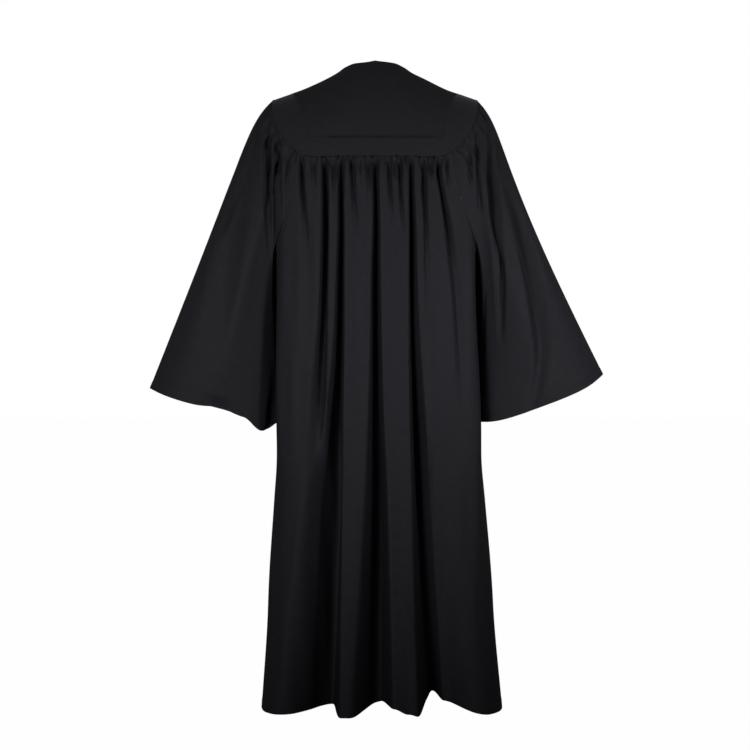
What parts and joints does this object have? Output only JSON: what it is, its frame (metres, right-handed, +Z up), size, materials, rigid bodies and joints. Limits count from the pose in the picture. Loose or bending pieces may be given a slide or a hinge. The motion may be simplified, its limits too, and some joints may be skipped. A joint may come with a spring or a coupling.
{
  "type": "clergy robe",
  "caption": "Full-length black clergy robe, hollow as worn, with a trapezoid yoke panel in a curved band, a gathered back and wide gathered sleeves open at the wrist.",
  "frame": {"origin": "middle of the wearer's neck at the height where it meets the shoulders, between the two shoulder ridges", "axes": "+Z up along the wearer's spine; the wearer faces +Y, so the gathered back is at -Y; +X is to the wearer's right"},
  "size_m": [0.943, 0.362, 1.3215],
  "materials": {
    "black_polyester": "matte satin"
  },
  "bodies": {
    "root": {"yoke_panel": "black_polyester", "band_left": "black_polyester", "band_right": "black_polyester", "back_left": "black_polyester", "back_right": "black_polyester", "front_left": "black_polyester", "front_right": "black_polyester", "sleeve_left": "black_polyester", "sleeve_right": "black_polyester"}
  },
  "joints": []
}
